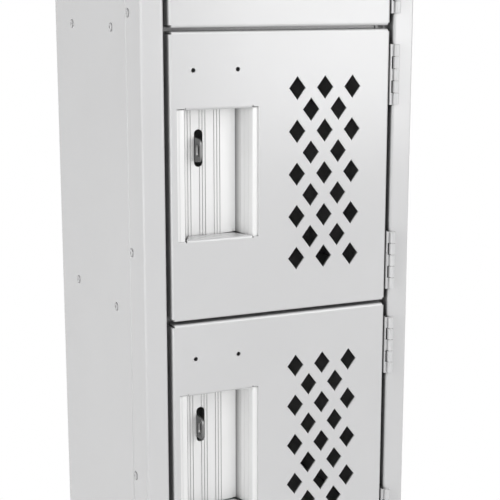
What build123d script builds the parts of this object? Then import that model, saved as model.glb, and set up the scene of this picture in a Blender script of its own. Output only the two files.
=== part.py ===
from build123d import *
import math
import os

os.makedirs("parts", exist_ok=True)

# Cabinet
WIDTH = 304.8
DEPTH = 304.8
LEG_HEIGHT = 152.4
TIERS = 6
TIER_PITCH = 295.3
RAIL_FACE = 26.7

# Sheet thicknesses and inner bend radii
FRAME_T = 1.5
PANEL_T = 1.2
DOOR_T = 1.9
POCKET_T = 1.6
LEAF_T = 1.05
STAPLE_T = 2.0
FOOT_T = 3.0
FRAME_BEND = 1.5
PANEL_BEND = 1.0
DOOR_BEND = 0.8
SMALL_BEND = 1.0
# How far a cut runs past the metal
OVERCUT = 1.0

# Front uprights: face, side flange, and the lip behind the door that stops it
POST_FACE = 24.3
SIDE_FLANGE = 43.0
STOP_DEPTH = 18.4
STOP_LIP = 12.0

# Rails of the front frame, and the cross rails behind the slits between doors
RAIL_DEPTH = 34.0
CROSS_HEIGHT = 24.0
CROSS_DEPTH = 18.0
CROSS_CLEAR = 0.5

# Side panels: front lap under the upright, joggle at the seam, rear flange
SIDE_LAP = 20.0
SEAM_GAP = 2.0
JOGGLE_RUN = 1.8
REAR_FLANGE = 22.0
BACK_CLEAR = 1.5

# Shelves, floor and roof, all folded trays
TRAY_FLANGE = 19.0
TRAY_NOTCH = 3.0
SHOULDER_CLEAR = 2.0

# Rear legs and anchor feet
REAR_LEG_FACE = 26.0
REAR_LEG_SIDE = 40.0
FOOT_LENGTH = 32.0
FOOT_REACH = 19.0
FOOT_TAB = 36.0
FOOT_CLEAR = 4.5
ANCHOR_R = 4.5
ANCHOR_INSET = 13.0

# Rivets
RIVET_R = 2.4
RIVET_HEAD_R = 4.8
RIVET_HEAD = 1.4
RIVET_RIM = 0.7
RIVET_BEVEL = 0.3
RIVET_CROWN_R = 3.0
RIVET_CROWN_DROP = 0.2
RIVET_DIMPLE_R = 1.2
RIVET_DIMPLE = 0.5
RIVET_TAIL_R = 3.4
RIVET_TAIL = 2.6
RIVET_FIT = 0.1
POST_RIVET_SETBACK = 6.0
POST_RIVET_FIRST = 205.9
POST_RIVET_STEP = 241.5
POST_RIVETS = 7
TRAY_RIVET_DROP = 12.6
TRAY_RIVET_FRONT = 92.0
TRAY_RIVET_REAR = 70.0
BACK_RIVET_INSET = 12.0

# Doors
DOOR_SIDE_GAP = 5.0
DOOR_GAP = 3.6
DOOR_PROUD = 1.2
DOOR_FLANGE = 16.0
CORNER_NOTCH = 2.6

# Diamond perforations, in staggered rows of three and two
DIAMOND_W = 19.05
DIAMOND_H = 24.6
DIAMOND_STEP_X = 31.75
DIAMOND_STEP_Z = 22.225
DIAMOND_ROWS = 9
DIAMOND_FROM_HINGE_EDGE = 75.4
DIAMOND_DROP = 1.6

# Number plate holes
PLATE_HOLE_R = 2.3
PLATE_HOLE_SPACING = 47.8
PLATE_HOLE_SHIFT = 2.3
PLATE_HOLE_RISE = 108.1

# Window in the door for the handle pocket
WINDOW_W = 88.4
WINDOW_H = 130.8
WINDOW_EDGE = 7.0
WINDOW_RISE = 3.4
WINDOW_SILL = 1.5
TAB_SHORT = 2.4
TAB_GAP = 1.2
TAB_TAPER = 3.6

# Handle pocket
POCKET_DEPTH = 25.0
POCKET_LAP_LATCH = 4.0
POCKET_LAP_HINGE = 8.0
POCKET_LIP_LATCH = 8.5
POCKET_LIP_HINGE = 5.5
POCKET_SLANT_LATCH = 8.0
POCKET_SLANT_HINGE = 10.1
POCKET_LAP_END = 8.0
SLOT_W = 9.4
SLOT_H = 38.5
SLOT_INSET = 32.3
SLOT_RISE = 27.7
GROOVE_W = 0.9
GROOVE_DEPTH = 0.7
SHALLOW_GROOVE = 0.3
GROOVE_STEP = 3.2
GROOVE_GROUP_STEP = 16.1
GROOVE_GROUP_FIRST = 20.3
GROOVE_GROUPS = 3
LIP_GROOVE_INSET = 2.8
WALL_GROOVES = (0.31, 0.53, 0.76)

# Padlock staple
STAPLE_CLEAR = 0.8
STAPLE_STEP = 5.0
FIN_CLEAR = 0.4
FIN_DROP = 1.2
FIN_ROOT_H = 24.5
FIN_NOSE_H = 22.5
FIN_NOSE_ROUND = 6.0
FIN_BELOW_FACE = 9.0
EYE_W = 8.4
EYE_H = 13.5
EYE_LIP = 3.0

# Hinges
HINGE_H = 63.5
HINGE_SPACING = 200.0
HINGE_DROP = 2.0
KNUCKLES = 5
KNUCKLE_GAP = 0.4
KNUCKLE_CHAMFER = 0.5
PIN_R = 2.0
PIN_FIT = 0.05
PIN_PROUD = 4.2
LEAF_GAP = 1.9
LEAF_FRONT = 4.0
LEAF_PROUD = 2.4
LEAF_SHORT = 1.4
LEAF_JOG = 3.0

# Door bumpers
BUMPER_R = 4.0
BUMPER_GAP = 0.2
BUMPER_SPACING = 190.0

# Places that follow from the sizes above
HALF = WIDTH / 2
JAMB = HALF - POST_FACE
LIP_BACK = STOP_DEPTH + FRAME_T
DOOR_HALF = JAMB - DOOR_SIDE_GAP
DOOR_H = TIER_PITCH - DOOR_GAP
DOOR_FRONT = -DOOR_PROUD
DOOR_BACK = DOOR_FRONT + DOOR_FLANGE
DOOR_OUTER_BEND = DOOR_BEND + DOOR_T
FLOOR_Z = LEG_HEIGHT + RAIL_FACE
FIRST_TIER_Z = FLOOR_Z + DOOR_GAP / 2
TOP_RAIL_Z = FIRST_TIER_Z + TIERS * TIER_PITCH + DOOR_GAP / 2
TOP_Z = TOP_RAIL_Z + RAIL_FACE
ROOF_UNDER_Z = TOP_Z - PANEL_T
BACK_Y = DEPTH - 2 * PANEL_T
SHOULDER_Y = SIDE_FLANGE + SEAM_GAP + JOGGLE_RUN + SHOULDER_CLEAR
TRAY_HALF = HALF - PANEL_T
POST_RIVET_Y = SIDE_FLANGE - POST_RIVET_SETBACK
WINDOW_X = -DOOR_HALF + WINDOW_EDGE + WINDOW_W / 2
WINDOW_LEFT = WINDOW_X - WINDOW_W / 2
WINDOW_RIGHT = WINDOW_X + WINDOW_W / 2
WALL_LATCH = WINDOW_LEFT + POCKET_LIP_LATCH
WALL_HINGE = WINDOW_RIGHT - POCKET_LIP_HINGE
CORNER_LATCH = WALL_LATCH + POCKET_SLANT_LATCH
CORNER_HINGE = WALL_HINGE - POCKET_SLANT_HINGE
POCKET_FACE = DOOR_FRONT + DOOR_T
POCKET_BACK = DOOR_FRONT + POCKET_DEPTH
SLOT_X = WINDOW_LEFT + SLOT_INSET
FIN_LEFT = SLOT_X - SLOT_W / 2 + FIN_CLEAR
FIN_NOSE_Y = DOOR_FRONT + FIN_BELOW_FACE
STAPLE_Y = POCKET_BACK + POCKET_T + STAPLE_CLEAR
PIN_X = JAMB + PIN_R
PIN_Y = -PIN_PROUD
BARREL_R = PIN_R + LEAF_T
LEAF_X = JAMB - LEAF_T - LEAF_GAP - LEAF_T
KNUCKLE_STEP = HINGE_H / KNUCKLES
# The origin lies midway between the hinge barrels and the rivet heads on the back
FRONT_Y = -(DEPTH + RIVET_HEAD - PIN_PROUD - BARREL_R) / 2


def save(name, solids):
    moved = [Pos(0, FRONT_Y, 0) * solid for solid in solids]
    shape = moved[0] if len(moved) == 1 else Compound(children=moved)
    export_step(shape, f"parts/{name}.step")


def block(x0, x1, y0, y1, z0, z1):
    centre = Pos((x0 + x1) / 2, (y0 + y1) / 2, (z0 + z1) / 2)
    return centre * Box(x1 - x0, y1 - y0, z1 - z0)


def rod_x(radius, x0, x1, y, z):
    return Pos((x0 + x1) / 2, y, z) * Rot(0, 90, 0) * Cylinder(radius, x1 - x0)


def rod_y(radius, x, y0, y1, z):
    return Pos(x, (y0 + y1) / 2, z) * Rot(90, 0, 0) * Cylinder(radius, y1 - y0)


# Section of a folded sheet: the points follow one face, the metal is on their left
def folded(points, bend, thickness):
    line = FilletPolyline(*points, radius=bend)
    return make_face(offset(line, amount=thickness, side=Side.LEFT))


def folded_up(points, bend, thickness, z0, z1):
    return Pos(0, 0, z0) * extrude(folded(points, bend, thickness), amount=z1 - z0)


def folded_across(points, bend, thickness, half):
    section = Plane.YZ * folded(points, bend, thickness)
    return Pos(-half, 0, 0) * extrude(section, amount=2 * half)


def folded_back(points, bend, thickness, y0, y1):
    section = Plane.XZ * folded(points, bend, thickness)
    return Pos(0, y1, 0) * extrude(section, amount=y1 - y0)


def other_side(shape):
    return mirror(shape, about=Plane.YZ)


def slit_z(number):
    return FIRST_TIER_Z + number * TIER_PITCH


def door_z(number):
    return FIRST_TIER_Z + (number - 0.5) * TIER_PITCH


def post_rivet_zs():
    return [LEG_HEIGHT + POST_RIVET_FIRST + i * POST_RIVET_STEP for i in range(POST_RIVETS)]


def back_rivet_zs():
    return [door_z(number) for number in range(1, TIERS + 1)]


def tray_tops():
    shelves = [slit_z(n) + CROSS_HEIGHT / 2 + PANEL_T for n in range(1, TIERS)]
    return [FLOOR_Z + PANEL_T, *shelves, TOP_Z]


def tray_rivet_places():
    ys = (TRAY_RIVET_FRONT, DEPTH - TRAY_RIVET_REAR)
    return [(y, top - TRAY_RIVET_DROP) for top in tray_tops() for y in ys]


def hinge_zs(number):
    middle = door_z(number) - HINGE_DROP
    return (middle - HINGE_SPACING / 2, middle + HINGE_SPACING / 2)


# Front upright of the left side, standing on the floor as a leg
def upright():
    line = [
        (-HALF, SIDE_FLANGE),
        (-HALF, 0),
        (-JAMB, 0),
        (-JAMB, STOP_DEPTH),
        (-JAMB + STOP_LIP, STOP_DEPTH),
    ]
    post = folded_up(line, FRAME_BEND + FRAME_T, FRAME_T, 0, ROOF_UNDER_Z)
    for low, high in ((0, FLOOR_Z), (TOP_RAIL_Z, TOP_Z)):
        post -= block(-JAMB, -JAMB + STOP_LIP + OVERCUT, 0, LIP_BACK + OVERCUT, low - OVERCUT, high)
    for z in post_rivet_zs():
        post -= rod_x(RIVET_R + RIVET_FIT, -HALF - OVERCUT, -HALF + FRAME_T + OVERCUT, POST_RIVET_Y, z)
    return post


# Side panel of the left side, joggled inwards under the side flange of the upright
def side_panel():
    line = [
        (-HALF + REAR_FLANGE, DEPTH),
        (-HALF, DEPTH),
        (-HALF, SIDE_FLANGE + SEAM_GAP + JOGGLE_RUN),
        (-HALF + FRAME_T, SIDE_FLANGE + SEAM_GAP),
        (-HALF + FRAME_T, SIDE_FLANGE - SIDE_LAP),
    ]
    panel = folded_up(line, PANEL_BEND + PANEL_T, PANEL_T, LEG_HEIGHT, TOP_Z)
    outer = -HALF - OVERCUT
    inner = -HALF + FRAME_T + PANEL_T + OVERCUT
    panel -= block(outer, inner, 0, SHOULDER_Y, ROOF_UNDER_Z, TOP_Z + OVERCUT)
    for z in post_rivet_zs():
        panel -= rod_x(RIVET_R + RIVET_FIT, outer, inner, POST_RIVET_Y, z)
    for y, z in tray_rivet_places():
        panel -= rod_x(RIVET_R + RIVET_FIT, outer, inner, y, z)
    for z in back_rivet_zs():
        panel -= rod_y(RIVET_R + RIVET_FIT, -HALF + BACK_RIVET_INSET, BACK_Y, DEPTH + OVERCUT, z)
    return panel


def back_panel():
    half = HALF - PANEL_T - BACK_CLEAR
    panel = block(-half, half, BACK_Y, BACK_Y + PANEL_T, LEG_HEIGHT, TOP_Z)
    for z in back_rivet_zs():
        for x in (-HALF + BACK_RIVET_INSET, HALF - BACK_RIVET_INSET):
            panel -= rod_y(RIVET_R + RIVET_FIT, x, BACK_Y - OVERCUT, DEPTH, z)
    return panel


# Rail of channel section with its open side to the back
def channel(front, depth, low, high, half):
    line = [(front + depth, high), (front, high), (front, low), (front + depth, low)]
    return folded_across(line, FRAME_BEND + FRAME_T, FRAME_T, half)


# Folded tray: flat sheet notched round the uprights, flanges down at both sides and the back
def tray(top, front, front_half, side_end, back_half):
    bend = PANEL_BEND + PANEL_T
    inner = TRAY_HALF - bend
    half_outline = [
        (front_half, front),
        (front_half, SHOULDER_Y),
        (inner, SHOULDER_Y),
        (inner, BACK_Y - bend),
    ]
    outline = half_outline + [(-x, y) for x, y in reversed(half_outline)]
    sheet = extrude(make_face(Polyline(*outline, close=True)), amount=PANEL_T)
    sides = [
        (TRAY_HALF, top - TRAY_FLANGE),
        (TRAY_HALF, top),
        (-TRAY_HALF, top),
        (-TRAY_HALF, top - TRAY_FLANGE),
    ]
    back = [(BACK_Y, top - TRAY_FLANGE), (BACK_Y, top), (BACK_Y - bend - PANEL_T, top)]
    shape = Pos(0, 0, top - PANEL_T) * sheet
    shape += folded_back(sides, bend, PANEL_T, SHOULDER_Y, side_end)
    shape += folded_across(back, bend, PANEL_T, back_half)
    for y in (TRAY_RIVET_FRONT, DEPTH - TRAY_RIVET_REAR):
        shape -= rod_x(RIVET_R + RIVET_FIT, -HALF, HALF, y, top - TRAY_RIVET_DROP)
    return shape


def rear_leg():
    line = [
        (-TRAY_HALF + REAR_LEG_FACE, BACK_Y),
        (-TRAY_HALF, BACK_Y),
        (-TRAY_HALF, BACK_Y - REAR_LEG_SIDE),
    ]
    return folded_up(line, FRAME_BEND + FRAME_T, FRAME_T, 0, FLOOR_Z)


# Angle foot inside a leg of the left side, with a hole for a floor anchor
def foot(wall_x, y0):
    line = [(wall_x, FOOT_TAB), (wall_x, 0), (wall_x + FOOT_REACH, 0)]
    angle = folded_back(line, FOOT_T + SMALL_BEND, FOOT_T, y0, y0 + FOOT_LENGTH)
    hole = Pos(-HALF + ANCHOR_INSET, y0 + FOOT_LENGTH / 2, 0) * Cylinder(ANCHOR_R, 4 * FOOT_T)
    return angle - hole


# Blind rivet along +Z: head above z 0, shank through the sheets below it, upset tail under them
def rivet(grip):
    outline = [
        (0, RIVET_HEAD - RIVET_DIMPLE),
        (RIVET_DIMPLE_R, RIVET_HEAD - RIVET_DIMPLE),
        (RIVET_DIMPLE_R, RIVET_HEAD),
        (RIVET_CROWN_R, RIVET_HEAD - RIVET_CROWN_DROP),
        (RIVET_HEAD_R - RIVET_BEVEL, RIVET_RIM),
        (RIVET_HEAD_R, 0),
        (RIVET_R, 0),
        (RIVET_R, -grip),
        (RIVET_TAIL_R, -grip),
        (RIVET_R, -grip - RIVET_TAIL),
        (0, -grip - RIVET_TAIL),
    ]
    face = make_face(Polyline(*[(x, 0, z) for x, z in outline], close=True))
    return revolve(face, axis=Axis.Z)


def side_rivets(places, grip):
    one = rivet(grip)
    left = [Pos(-HALF, y, z) * Rot(0, -90, 0) * one for y, z in places]
    right = [Pos(HALF, y, z) * Rot(0, 90, 0) * one for y, z in places]
    return left + right


def back_rivets():
    one = rivet(2 * PANEL_T)
    xs = (-HALF + BACK_RIVET_INSET, HALF - BACK_RIVET_INSET)
    return [Pos(x, DEPTH, z) * Rot(-90, 0, 0) * one for x in xs for z in back_rivet_zs()]


# Door sheet about its own centre: folded pan with open corners
def door():
    bend = DOOR_OUTER_BEND
    high = DOOR_H / 2
    flat_x = DOOR_HALF - bend
    flat_z = high - bend
    pan = block(-flat_x, flat_x, DOOR_FRONT, DOOR_FRONT + DOOR_T, -flat_z, flat_z)
    edge = [
        (-DOOR_HALF, DOOR_BACK),
        (-DOOR_HALF, DOOR_FRONT),
        (-DOOR_HALF + bend + DOOR_T, DOOR_FRONT),
    ]
    latch_edge = folded_up(edge, bend, DOOR_T, -high + CORNER_NOTCH, high - CORNER_NOTCH)
    pan += latch_edge
    pan += other_side(latch_edge)
    top = [
        (DOOR_BACK, high),
        (DOOR_FRONT, high),
        (DOOR_FRONT, high - bend - DOOR_T),
    ]
    top_edge = folded_across(top, bend, DOOR_T, DOOR_HALF - CORNER_NOTCH)
    pan += top_edge
    pan += mirror(top_edge, about=Plane.XY)
    return pan - door_holes() + window_tabs()


def door_holes():
    deep = 4 * DOOR_T
    rhombus = [
        (DIAMOND_W / 2, 0),
        (0, DIAMOND_H / 2),
        (-DIAMOND_W / 2, 0),
        (0, -DIAMOND_H / 2),
    ]
    face = Plane.XZ * make_face(Polyline(*rhombus, close=True))
    diamond = extrude(face, amount=deep, both=True)
    cuts = []
    for row in range(DIAMOND_ROWS):
        z = (DIAMOND_ROWS - 1) / 2 * DIAMOND_STEP_Z - DIAMOND_DROP - row * DIAMOND_STEP_Z
        count = 3 - row % 2
        for i in range(count):
            x = DOOR_HALF - DIAMOND_FROM_HINGE_EDGE + (i - (count - 1) / 2) * DIAMOND_STEP_X
            cuts.append(Pos(x, 0, z) * diamond)
    for side in (-1, 1):
        x = WINDOW_X - PLATE_HOLE_SHIFT + side * PLATE_HOLE_SPACING / 2
        cuts.append(rod_y(PLATE_HOLE_R, x, -deep, deep, PLATE_HOLE_RISE))
    spans = ((WINDOW_LEFT, WINDOW_RIGHT, WINDOW_SILL), (WALL_LATCH, WALL_HINGE, DOOR_OUTER_BEND))
    for left, right, beyond in spans:
        reach = WINDOW_H / 2 + beyond
        cuts.append(block(left, right, -deep, deep, WINDOW_RISE - reach, WINDOW_RISE + reach))
    return cuts


# Tabs of the window, folded inwards along its lower and upper edges, trimmed to fit the pocket
def window_tabs():
    bend = DOOR_OUTER_BEND
    low = WINDOW_RISE - WINDOW_H / 2
    line = [
        (POCKET_BACK - TAB_SHORT, low),
        (DOOR_FRONT, low),
        (DOOR_FRONT, low - bend - DOOR_T),
    ]
    inside = [
        (WALL_LATCH + TAB_GAP, DOOR_FRONT),
        (WALL_HINGE - TAB_GAP, DOOR_FRONT),
        (WALL_HINGE - TAB_GAP, POCKET_FACE),
        (CORNER_HINGE - TAB_GAP - TAB_TAPER, POCKET_BACK),
        (CORNER_LATCH + TAB_GAP + TAB_TAPER, POCKET_BACK),
        (WALL_LATCH + TAB_GAP, POCKET_FACE),
    ]
    room = extrude(make_face(Polyline(*inside, close=True)), amount=WINDOW_H, both=True)
    ledge = Pos(WINDOW_X, 0, 0) * folded_across(line, bend, DOOR_T, WINDOW_W / 2)
    ledge = ledge & room
    return [ledge, mirror(ledge, about=Plane.XY.offset(WINDOW_RISE))]


# Handle pocket about the centre of its door: a ribbed channel behind the window, lapped all round
def pocket():
    line = [
        (WINDOW_LEFT - POCKET_LAP_LATCH, POCKET_FACE),
        (WALL_LATCH, POCKET_FACE),
        (CORNER_LATCH, POCKET_BACK),
        (CORNER_HINGE, POCKET_BACK),
        (WALL_HINGE, POCKET_FACE),
        (WINDOW_RIGHT + POCKET_LAP_HINGE, POCKET_FACE),
    ]
    reach = WINDOW_H / 2 + DOOR_OUTER_BEND + POCKET_LAP_END
    shape = folded_up(line, SMALL_BEND, POCKET_T, WINDOW_RISE - reach, WINDOW_RISE + reach)
    tool = Box(GROOVE_W, 2 * GROOVE_DEPTH, 2 * WINDOW_H)
    shallow = Box(GROOVE_W, 2 * SHALLOW_GROOVE, 2 * WINDOW_H)
    cuts = [Pos(WINDOW_LEFT + LIP_GROOVE_INSET, POCKET_FACE, 0) * shallow]
    for group in range(GROOVE_GROUPS):
        for i in (-1, 0, 1):
            x = WINDOW_LEFT + GROOVE_GROUP_FIRST + group * GROOVE_GROUP_STEP + i * GROOVE_STEP
            cuts.append(Pos(x, POCKET_BACK, 0) * tool)
    run = POCKET_BACK - POCKET_FACE
    turn = math.degrees(math.atan2(-run, POCKET_SLANT_HINGE))
    for share in WALL_GROOVES:
        x = CORNER_HINGE + share * POCKET_SLANT_HINGE
        cuts.append(Pos(x, POCKET_BACK - share * run, 0) * Rot(0, 0, turn) * shallow)
    slot = extrude(Plane.XZ * SlotOverall(SLOT_H, SLOT_W, rotation=90), amount=8 * POCKET_T, both=True)
    cuts.append(Pos(SLOT_X, POCKET_BACK, SLOT_RISE) * slot)
    return shape - cuts


# Padlock staple about the centre of its door: a cranked strap behind the pocket, and a fin with an eye
def staple():
    lip_end = -JAMB + STOP_LIP
    turn_y = STAPLE_Y - 2 * STAPLE_T
    line = [
        (-JAMB + CROSS_CLEAR, LIP_BACK),
        (lip_end, LIP_BACK),
        (lip_end + STAPLE_STEP, STAPLE_Y),
        (FIN_LEFT, STAPLE_Y),
        (FIN_LEFT, turn_y),
    ]
    strap = folded_up(line, SMALL_BEND, STAPLE_T, -FIN_ROOT_H / 2, FIN_ROOT_H / 2)
    root = FIN_ROOT_H / 2
    nose = FIN_NOSE_H / 2
    outline = [
        (turn_y + STAPLE_T, -root),
        (turn_y, -root),
        (FIN_NOSE_Y, -nose),
        (FIN_NOSE_Y, nose),
        (turn_y, root),
        (turn_y + STAPLE_T, root),
    ]
    face = make_face(Polyline(*outline, close=True))
    front = face.vertices().sort_by(Axis.X)[:2]
    face = fillet(front, radius=FIN_NOSE_ROUND)
    eye = Pos(FIN_NOSE_Y + EYE_LIP + EYE_W / 2, 0) * SlotOverall(EYE_H, EYE_W, rotation=90)
    fin = Pos(FIN_LEFT, 0, 0) * extrude(Plane.YZ * (face - eye), amount=STAPLE_T)
    return Pos(0, 0, SLOT_RISE - FIN_DROP) * (strap + fin)


def knuckle(row, bore):
    barrel = Cylinder(BARREL_R, KNUCKLE_STEP - KNUCKLE_GAP)
    barrel = chamfer(barrel.edges().filter_by(GeomType.CIRCLE), length=KNUCKLE_CHAMFER)
    ring = barrel - Cylinder(bore, HINGE_H)
    return Pos(PIN_X, PIN_Y, (row - (KNUCKLES - 1) / 2) * KNUCKLE_STEP) * ring


def row_span(row):
    middle = (row - (KNUCKLES - 1) / 2) * KNUCKLE_STEP
    reach = (KNUCKLE_STEP - KNUCKLE_GAP) / 2
    return middle - reach, middle + reach


# Leaf on the jamb: plate with the two inner knuckles
def frame_leaf():
    left = JAMB - LEAF_T
    back = STOP_DEPTH - FRAME_BEND - FRAME_T - LEAF_GAP
    leaf = block(left, JAMB, LEAF_FRONT, back, -HINGE_H / 2, HINGE_H / 2)
    for row in range(1, KNUCKLES, 2):
        low, high = row_span(row)
        leaf += knuckle(row, PIN_R)
        leaf += block(left, JAMB - PIN_FIT, PIN_Y, LEAF_FRONT + LEAF_T, low, high)
    return leaf


def rod_pin(radius):
    return Pos(PIN_X, PIN_Y, 0) * Cylinder(radius, HINGE_H)


# Leaf on the hinge edge of the door: a jogged plate, with necks to the three outer knuckles
def door_leaf():
    line = [
        (DOOR_HALF, DOOR_BACK - LEAF_SHORT),
        (DOOR_HALF, LEAF_FRONT + LEAF_JOG),
        (LEAF_X, LEAF_FRONT),
        (LEAF_X, -LEAF_PROUD),
    ]
    leaf = folded_up(line, SMALL_BEND, LEAF_T, -HINGE_H / 2, HINGE_H / 2)
    for row in range(0, KNUCKLES, 2):
        low, high = row_span(row)
        leaf += block(LEAF_X, PIN_X, -LEAF_PROUD, LEAF_T - LEAF_PROUD, low, high)
        leaf += knuckle(row, PIN_R + PIN_FIT)
    return leaf - rod_pin(PIN_R + PIN_FIT)


def bumpers():
    thick = STOP_DEPTH - DOOR_BACK - BUMPER_GAP
    x = -JAMB + FRAME_BEND + FRAME_T + BUMPER_GAP + BUMPER_R
    pad = Rot(90, 0, 0) * Cylinder(BUMPER_R, thick)
    pad = chamfer(pad.edges().sort_by(Axis.Y)[0], length=thick / 3)
    places = []
    for number in range(1, TIERS + 1):
        for side in (-1, 1):
            places.append(door_z(number) + side * BUMPER_SPACING / 2)
    return [Pos(x, STOP_DEPTH - thick / 2, z) * pad for z in places]


# Front frame
left_upright = upright()
save("left_upright", [left_upright])
save("right_upright", [other_side(left_upright)])
save("bottom_rail", [channel(0, RAIL_DEPTH, LEG_HEIGHT, FLOOR_Z, JAMB)])
save("top_rail", [channel(0, RAIL_DEPTH, TOP_RAIL_Z, ROOF_UNDER_Z, JAMB)])
for number in range(1, TIERS):
    low = slit_z(number) - CROSS_HEIGHT / 2
    rail = channel(LIP_BACK, CROSS_DEPTH, low, low + CROSS_HEIGHT, JAMB - CROSS_CLEAR)
    save(f"cross_rail_{number}", [rail])

# Panels, shelves and legs
left_panel = side_panel()
save("left_side_panel", [left_panel])
save("right_side_panel", [other_side(left_panel)])
save("back_panel", [back_panel()])
flange_end = BACK_Y - TRAY_NOTCH
flange_half = TRAY_HALF - TRAY_NOTCH
tops = tray_tops()
for number in range(1, TIERS):
    shelf = tray(tops[number], LIP_BACK, JAMB - CROSS_CLEAR, flange_end, flange_half)
    save(f"shelf_{number}", [shelf])
leg_end = BACK_Y - REAR_LEG_SIDE - TRAY_NOTCH
leg_half = TRAY_HALF - REAR_LEG_FACE - TRAY_NOTCH
save("floor_panel", [tray(tops[0], LIP_BACK, JAMB - CROSS_CLEAR, leg_end, leg_half)])
save("roof_panel", [tray(tops[-1], 0, HALF, flange_end, flange_half)])
left_leg = rear_leg()
save("left_rear_leg", [left_leg])
save("right_rear_leg", [other_side(left_leg)])
front_foot = foot(-HALF + FRAME_T, FOOT_CLEAR)
rear_foot = foot(-TRAY_HALF + FRAME_T, BACK_Y - FRAME_T - FOOT_CLEAR - FOOT_LENGTH)
feet = [front_foot, rear_foot]
save("anchor_feet", feet + [other_side(one) for one in feet])

# Rivets
post_places = [(POST_RIVET_Y, z) for z in post_rivet_zs()]
save("upright_rivets", side_rivets(post_places, FRAME_T + PANEL_T))
save("shelf_rivets", side_rivets(tray_rivet_places(), 2 * PANEL_T))
save("back_rivets", back_rivets())

# Doors with what rides on them, and what meets them on the frame
one_door = door()
one_pocket = pocket()
one_staple = staple()
one_frame_leaf = frame_leaf()
one_door_leaf = door_leaf()
pins = []
for number in range(1, TIERS + 1):
    centre = Pos(0, 0, door_z(number))
    save(f"door_{number}", [centre * one_door])
    save(f"handle_pocket_{number}", [centre * one_pocket])
    save(f"padlock_staple_{number}", [centre * one_staple])
    hinges = [Pos(0, 0, z) for z in hinge_zs(number)]
    save(f"frame_hinge_leaves_{number}", [place * one_frame_leaf for place in hinges])
    save(f"door_hinge_leaves_{number}", [place * one_door_leaf for place in hinges])
    pins += [place * rod_pin(PIN_R) for place in hinges]
save("hinge_pins", pins)
save("door_bumpers", bumpers())
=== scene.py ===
import bmesh
import bpy
import math
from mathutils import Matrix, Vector


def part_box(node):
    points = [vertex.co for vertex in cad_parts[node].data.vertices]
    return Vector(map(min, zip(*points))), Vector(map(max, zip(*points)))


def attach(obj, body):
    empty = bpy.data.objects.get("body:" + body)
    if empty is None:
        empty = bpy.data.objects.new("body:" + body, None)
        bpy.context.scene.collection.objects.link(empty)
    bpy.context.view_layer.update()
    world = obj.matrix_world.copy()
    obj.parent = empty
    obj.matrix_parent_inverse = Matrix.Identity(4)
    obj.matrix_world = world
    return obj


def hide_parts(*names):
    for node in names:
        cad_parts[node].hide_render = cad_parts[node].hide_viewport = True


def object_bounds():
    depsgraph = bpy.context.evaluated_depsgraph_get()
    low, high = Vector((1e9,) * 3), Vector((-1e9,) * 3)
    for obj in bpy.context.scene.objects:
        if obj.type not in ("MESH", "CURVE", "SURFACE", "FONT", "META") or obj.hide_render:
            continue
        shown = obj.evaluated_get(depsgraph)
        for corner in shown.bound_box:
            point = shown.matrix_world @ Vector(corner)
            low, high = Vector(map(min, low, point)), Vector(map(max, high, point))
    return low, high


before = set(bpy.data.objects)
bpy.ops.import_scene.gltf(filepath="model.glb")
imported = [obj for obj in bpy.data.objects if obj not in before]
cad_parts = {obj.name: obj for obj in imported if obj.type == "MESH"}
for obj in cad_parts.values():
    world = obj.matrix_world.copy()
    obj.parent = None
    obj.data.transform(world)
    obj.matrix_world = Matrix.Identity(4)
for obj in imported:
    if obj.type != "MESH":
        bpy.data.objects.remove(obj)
cad_low, cad_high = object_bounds()

# Camera, as the photograph was taken: left of the cabinet, a little above its middle, looking down
CAMERA_AT = (-0.5584, -1.3352, 1.1072)
CAMERA_TURN = 0.4145
CAMERA_TILT = 0.2023
FOCAL_SHARE = 2.56
SENSOR_MM = 36.0

# Colours, linear
PAINT = (0.66, 0.66, 0.665)
ALUMINIUM = (0.90, 0.90, 0.897)
ZINC = (0.22, 0.22, 0.22)
STEEL = (0.60, 0.60, 0.60)
RUBBER = (0.04, 0.04, 0.042)
FLOOR = (0.86, 0.86, 0.86, 1)
WHITE = (1, 1, 1, 1)

# Range in which nearly all values of a noise lie
NOISE_LOW = 0.3
NOISE_HIGH = 0.7

# Painted shade: how far away a facing wall still darkens a surface's colour
HOLLOW_REACH = 0.25
GAP_REACH = 0.02
GROOVE_REACH = 0.0015
# Open share of the surroundings from which a surface keeps its full tone
HOLLOW_OPEN = 0.5
GAP_OPEN = 0.6
GROOVE_OPEN = 0.65
# Tone of the painted shade where nothing around is open
HOLLOW_TONE = 0.3
GAP_TONE = 0.25
GROOVE_TONE = 0.65
# Rays that look for facing walls
GAP_SAMPLES = 8

# Powder coat: clouds of film thickness, orange peel, sheen
CLOUD_SCALE = 7.0
CLOUD_DETAIL = 3.0
CLOUD_TONES = (0.985, 1.015)
PEEL_SCALE = 520.0
PEEL_DETAIL = 2.0
PEEL_STRENGTH = 0.03
PEEL_HEIGHT = 0.0004
PAINT_ROUGHNESS = (0.19, 0.23)
PAINT_SHEEN = 1.0

# Width over which a rivet head rounds off, and how much steeper than a bevel
RIVET_ROUND = 0.0025
RIVET_DOME = 2.2
# Rays that look for the edge of a rivet head
ROUND_SAMPLES = 16

# Drawn or plated metal: fine lines and how much the roughness varies with them
LINE_DETAIL = 3.0
LINE_TONES = (0.99, 1.01)
LINE_STRENGTH = 0.02
LINE_HEIGHT = 0.0002
LINE_ROUGHNESS = 0.02

# Rubber: fine grain
GRAIN_SCALE = 900.0
GRAIN_DETAIL = 2.0
GRAIN_TONES = (0.8, 1.2)
GRAIN_STRENGTH = 0.2
GRAIN_HEIGHT = 0.0003
RUBBER_ROUGHNESS = (0.7, 0.85)

# Depths between which the painted shade on a pocket wall deepens towards its inner corner
WALL_BRIGHT_Y = -0.1343
WALL_CORNER_Y = -0.1257
# Sideways part of the normal from which a surface begins to count as a wall, and from which it is one
WALL_BEGINS = 0.4
WALL_FULL = 0.8

# Lap of a handle pocket behind the ledges of its window, which is trimmed away
POCKET_LAP = 0.0107
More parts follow.
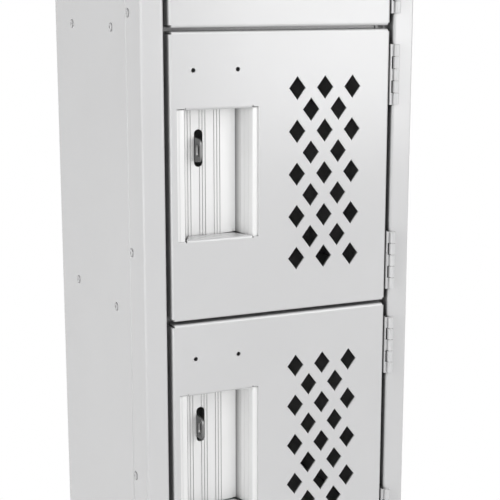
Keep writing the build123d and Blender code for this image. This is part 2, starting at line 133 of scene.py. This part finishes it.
# Heights of the trimmed lower end above the lower ledge, at three corners of the pocket
LEFT_LIP_END = -0.0085
RIGHT_LIP_END = -0.0005
RIGHT_BACK_END = 0.003
# How far the trimmed upper end passes the upper ledge
UPPER_PASS = 0.0004
# Distance within which two points of a pocket are one
WELD = 1e-6
# Angle from which an edge of a pocket stays sharp
SHARP_FROM = math.radians(25)
DOORS = 6

# Soft studio light: each lamp has its place, size and power
WORLD_LIGHT = 0.22
LAMPS = {
    "left": ((-2.0, -0.70, 1.25), (1.5, 2.4), 23.0),
    "front": ((-0.75, -2.9, 1.35), (1.4, 1.0), 11.0),
    "right": ((1.64, -2.70, 2.29), (1.45, 3.77), 58.5),
    "back": ((1.9, 1.9, 1.5), (3.0, 3.0), 36.0),
}

# Round floor: distances between which it turns white, and how white it is near the cabinet
FLOOR_RADIUS = 14.0
FLOOR_SIDES = 96
FLOOR_SHADOW_END = 0.65
FLOOR_WHITE_FROM = 1.3
FLOOR_PALE = 0.5


def new_tree(owner):
    owner.use_nodes = True
    owner.node_tree.nodes.clear()
    return owner.node_tree


# Adds a node; an input may be a plain value or the output of another node
def add(tree, kind, inputs=None, **settings):
    made = tree.nodes.new(kind)
    for key, value in settings.items():
        setattr(made, key, value)
    for key, value in (inputs or {}).items():
        if isinstance(value, bpy.types.NodeSocket):
            tree.links.new(value, made.inputs[key])
        else:
            made.inputs[key].default_value = value
    return made


def noise(tree, place, scale, detail):
    made = add(tree, "ShaderNodeTexNoise", {"Vector": place, "Scale": scale, "Detail": detail})
    return made.outputs["Fac"]


def relief(tree, height, strength, depth):
    made = add(tree, "ShaderNodeBump", {"Height": height, "Strength": strength, "Distance": depth})
    return made.outputs["Normal"]


def between(tree, value, low, high):
    inputs = {"Value": value, "From Min": NOISE_LOW, "From Max": NOISE_HIGH, "To Min": low, "To Max": high}
    return add(tree, "ShaderNodeMapRange", inputs).outputs["Result"]


# The colour, between a darker and a lighter tone of it
def toned(tree, value, colour, tones):
    made = add(tree, "ShaderNodeValToRGB", {"Fac": value})
    for stop, at, tone in zip(made.color_ramp.elements, (NOISE_LOW, NOISE_HIGH), tones):
        stop.position = at
        stop.color = (*(channel * tone for channel in colour), 1)
    return made.outputs["Color"]


def scaled(tree, colour, factor):
    made = add(tree, "ShaderNodeVectorMath", {0: colour, "Scale": factor}, operation="SCALE")
    return made.outputs["Vector"]


def surface(tree, inputs):
    shader = add(tree, "ShaderNodeBsdfPrincipled", inputs)
    add(tree, "ShaderNodeOutputMaterial", {"Surface": shader.outputs["BSDF"]})


# The colour with painted shade, darker where other surfaces close in on it
def painted_shade_in_gaps(tree, colour, reach, opened, deepest):
    sky = add(tree, "ShaderNodeAmbientOcclusion", {"Distance": reach}, samples=GAP_SAMPLES).outputs["AO"]
    inputs = {"Value": sky, "From Max": opened, "To Min": deepest}
    return scaled(tree, colour, add(tree, "ShaderNodeMapRange", inputs).outputs["Result"])


# The colour with painted shade, darker on walls that face sideways, towards their inner corner
def painted_shade_in_corners(tree, colour, place, corner_shade_tone):
    depth = add(tree, "ShaderNodeSeparateXYZ", {"Vector": place.outputs["Object"]}).outputs["Y"]
    inputs = {"Value": depth, "From Min": WALL_CORNER_Y, "From Max": WALL_BRIGHT_Y, "To Min": corner_shade_tone}
    tone = add(tree, "ShaderNodeMapRange", inputs).outputs["Result"]
    facing = add(tree, "ShaderNodeSeparateXYZ", {"Vector": place.outputs["Normal"]}).outputs["X"]
    sideways = add(tree, "ShaderNodeMath", {0: facing}, operation="ABSOLUTE").outputs["Value"]
    inputs = {
        "Value": sideways, "From Min": WALL_BEGINS, "From Max": WALL_FULL, "To Min": 1.0, "To Max": tone,
    }
    return scaled(tree, colour, add(tree, "ShaderNodeMapRange", inputs).outputs["Result"])


# Normals of a small flat head, tilted as if it were domed
def domed(tree):
    rounded = add(tree, "ShaderNodeBevel", {"Radius": RIVET_ROUND}, samples=ROUND_SAMPLES).outputs["Normal"]
    flat = add(tree, "ShaderNodeNewGeometry").outputs["Normal"]
    tilt = add(tree, "ShaderNodeVectorMath", {0: rounded, 1: flat}, operation="SUBTRACT").outputs["Vector"]
    inputs = {0: flat, 1: scaled(tree, tilt, RIVET_DOME)}
    steep = add(tree, "ShaderNodeVectorMath", inputs, operation="ADD").outputs["Vector"]
    return add(tree, "ShaderNodeVectorMath", {0: steep}, operation="NORMALIZE").outputs["Vector"]


# Satin powder coat with fine orange peel, faint clouds of film thickness, and painted shade in hollows and
# gaps
def powder_coat(name, gap_shade_tone=GAP_TONE, dome=False):
    material = bpy.data.materials.new(name)
    tree = new_tree(material)
    place = add(tree, "ShaderNodeTexCoord").outputs["Object"]
    clouds = noise(tree, place, CLOUD_SCALE, CLOUD_DETAIL)
    peel = noise(tree, place, PEEL_SCALE, PEEL_DETAIL)
    film = toned(tree, clouds, PAINT, CLOUD_TONES)
    # Painted shade: darker inside the cabinet's hollows, then in the gaps between parts
    film = painted_shade_in_gaps(tree, film, HOLLOW_REACH, HOLLOW_OPEN, HOLLOW_TONE)
    surface(tree, {
        "Base Color": painted_shade_in_gaps(tree, film, GAP_REACH, GAP_OPEN, gap_shade_tone),
        "Roughness": between(tree, peel, *PAINT_ROUGHNESS),
        "Specular IOR Level": PAINT_SHEEN,
        "Normal": domed(tree) if dome else relief(tree, peel, PEEL_STRENGTH, PEEL_HEIGHT),
    })
    return material


# Drawn or plated metal: fine lines or grain, so many to a metre across and along the height, with painted
# shade in its grooves
def drawn_metal(name, colour, rough, across, along, metallic=1.0, corner_shade_tone=None):
    material = bpy.data.materials.new(name)
    tree = new_tree(material)
    place = add(tree, "ShaderNodeTexCoord")
    inputs = {"Vector": place.outputs["Object"], "Scale": (across, across, along)}
    stretched = add(tree, "ShaderNodeMapping", inputs).outputs["Vector"]
    lines = noise(tree, stretched, 1.0, LINE_DETAIL)
    tone = toned(tree, lines, colour, LINE_TONES)
    # Painted shade in grooves and narrow steps
    tone = painted_shade_in_gaps(tree, tone, GROOVE_REACH, GROOVE_OPEN, GROOVE_TONE)
    # Painted shade towards the inner corners of sideways walls
    if corner_shade_tone is not None:
        tone = painted_shade_in_corners(tree, tone, place, corner_shade_tone)
    surface(tree, {
        "Base Color": tone,
        "Metallic": metallic,
        "Roughness": between(tree, lines, rough - LINE_ROUGHNESS, rough + LINE_ROUGHNESS),
        "Normal": relief(tree, lines, LINE_STRENGTH, LINE_HEIGHT),
    })
    return material


def rubber(name):
    material = bpy.data.materials.new(name)
    tree = new_tree(material)
    place = add(tree, "ShaderNodeTexCoord").outputs["Object"]
    grain = noise(tree, place, GRAIN_SCALE, GRAIN_DETAIL)
    surface(tree, {
        "Base Color": toned(tree, grain, RUBBER, GRAIN_TONES),
        "Roughness": between(tree, grain, *RUBBER_ROUGHNESS),
        "Normal": relief(tree, grain, GRAIN_STRENGTH, GRAIN_HEIGHT),
    })
    return material


# True where the background is looked at, straight or in a reflection
def looked_at(tree):
    path = add(tree, "ShaderNodeLightPath")
    seen = path.outputs["Is Camera Ray"]
    for name in ("Is Glossy Ray", "Is Transmission Ray"):
        both = add(tree, "ShaderNodeMath", {0: seen, 1: path.outputs[name]}, operation="MAXIMUM")
        seen = both.outputs["Value"]
    return seen


def make_world():
    world = bpy.data.worlds.new("studio")
    bpy.context.scene.world = world
    tree = new_tree(world)
    inputs = {"Value": looked_at(tree), "To Min": WORLD_LIGHT, "To Max": 1.0}
    strength = add(tree, "ShaderNodeMapRange", inputs).outputs["Result"]
    light = add(tree, "ShaderNodeBackground", {"Color": WHITE, "Strength": strength})
    add(tree, "ShaderNodeOutputWorld", {"Surface": light.outputs["Background"]})


# Pale floor that holds the shadow near the cabinet and turns white further out
def make_floor():
    mesh = bpy.data.meshes.new("floor")
    turns = [2 * math.pi * side / FLOOR_SIDES for side in range(FLOOR_SIDES)]
    rim = [(FLOOR_RADIUS * math.cos(turn), FLOOR_RADIUS * math.sin(turn), 0) for turn in turns]
    mesh.from_pydata(rim, [], [list(range(FLOOR_SIDES))])
    floor = bpy.data.objects.new("floor", mesh)
    bpy.context.scene.collection.objects.link(floor)
    material = bpy.data.materials.new("floor")
    tree = new_tree(material)
    place = add(tree, "ShaderNodeTexCoord").outputs["Object"]
    away = add(tree, "ShaderNodeVectorMath", {0: place}, operation="LENGTH").outputs["Value"]
    far = add(tree, "ShaderNodeMapRange", {
        "Value": away, "From Min": FLOOR_SHADOW_END, "From Max": FLOOR_WHITE_FROM, "To Min": FLOOR_PALE,
    }, interpolation_type="SMOOTHSTEP").outputs["Result"]
    white = add(tree, "ShaderNodeMath", {0: far, 1: looked_at(tree)}, operation="MULTIPLY").outputs["Value"]
    pale = add(tree, "ShaderNodeBsdfDiffuse", {"Color": FLOOR})
    glow = add(tree, "ShaderNodeEmission", {"Color": WHITE, "Strength": 1.0})
    mix = add(tree, "ShaderNodeMixShader", {0: white, 1: pale.outputs["BSDF"], 2: glow.outputs["Emission"]})
    add(tree, "ShaderNodeOutputMaterial", {"Surface": mix.outputs["Shader"]})
    mesh.materials.append(material)


def soft_box(name, at, target, size, watts):
    light = bpy.data.lights.new(name, "AREA")
    light.shape = "RECTANGLE"
    light.size, light.size_y = size
    light.energy = watts
    lamp = bpy.data.objects.new(name, light)
    bpy.context.scene.collection.objects.link(lamp)
    lamp.location = at
    lamp.visible_camera = False
    aim = target - lamp.location
    lamp.rotation_euler = aim.to_track_quat("-Z", "Y").to_euler()


def make_camera():
    lens = bpy.data.cameras.new("camera")
    lens.sensor_width = SENSOR_MM
    lens.lens = FOCAL_SHARE * SENSOR_MM
    camera = bpy.data.objects.new("camera", lens)
    bpy.context.scene.collection.objects.link(camera)
    camera.location = CAMERA_AT
    camera.rotation_euler = (math.pi / 2 - CAMERA_TILT, 0, -CAMERA_TURN)
    bpy.context.scene.camera = camera


# Cuts away what lies beyond a plane and closes the cut
def cut_off(shape, at, beyond):
    whole = shape.verts[:] + shape.edges[:] + shape.faces[:]
    cut = bmesh.ops.bisect_plane(shape, geom=whole, plane_co=at, plane_no=beyond, clear_outer=True)
    rim = [part for part in cut["geom_cut"] if isinstance(part, bmesh.types.BMEdge)]
    bmesh.ops.holes_fill(shape, edges=rim)


# Handle pocket with its ends trimmed to the ledges of its window: square above, slanted below
def trim_pocket(number, finish):
    name = f"handle_pocket_{number}"
    low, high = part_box(name)
    shape = bmesh.new()
    shape.from_mesh(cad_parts[name].data)
    bmesh.ops.remove_doubles(shape, verts=shape.verts, dist=WELD)
    ledge = low.z + POCKET_LAP
    left_lip = Vector((low.x, low.y, ledge + LEFT_LIP_END))
    right_lip = Vector((high.x, low.y, ledge + RIGHT_LIP_END))
    right_back = Vector((high.x, high.y, ledge + RIGHT_BACK_END))
    cut_off(shape, right_lip, (right_back - right_lip).cross(right_lip - left_lip))
    cut_off(shape, Vector((0, 0, high.z - POCKET_LAP + UPPER_PASS)), Vector((0, 0, 1)))
    mesh = bpy.data.meshes.new(f"trimmed_pocket_{number}")
    shape.to_mesh(mesh)
    shape.free()
    mesh.shade_smooth()
    mesh.set_sharp_from_angle(angle=SHARP_FROM)
    mesh.materials.clear()
    mesh.materials.append(finish)
    pocket = bpy.data.objects.new(mesh.name, mesh)
    bpy.context.scene.collection.objects.link(pocket)
    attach(pocket, f"locker_door_{number}")
    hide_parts(name)


FINISHES = {
    "frame_paint": powder_coat("frame_powder_coat"),
    "panel_paint": powder_coat("panel_powder_coat"),
    "door_paint": powder_coat("door_powder_coat", gap_shade_tone=1.0),
    "hinge_paint": powder_coat("hinge_powder_coat"),
    "rivet_paint": powder_coat("rivet_powder_coat", dome=True),
    "foot_paint": powder_coat("foot_powder_coat"),
    # Pocket walls darken towards their inner corners: painted shade
    "pocket_metal": drawn_metal(
        "pocket_aluminium", ALUMINIUM, rough=0.30, across=1800.0, along=12.0,
        metallic=0.12, corner_shade_tone=0.2,
    ),
    "staple_steel": drawn_metal("staple_zinc", ZINC, rough=0.42, across=500.0, along=500.0),
    "pin_steel": drawn_metal("pin_steel", STEEL, rough=0.35, across=600.0, along=600.0),
    "bumper_rubber": rubber("bumper_rubber"),
}
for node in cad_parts.values():
    slot = node.material_slots[0]
    slot.material = FINISHES[slot.material.name]
for number in range(1, DOORS + 1):
    trim_pocket(number, FINISHES["pocket_metal"])

bpy.context.scene.view_settings.view_transform = "Standard"
make_world()
make_floor()
middle = (cad_low + cad_high) / 2
for name, (at, size, watts) in LAMPS.items():
    soft_box(name, at, middle, size, watts)
make_camera()
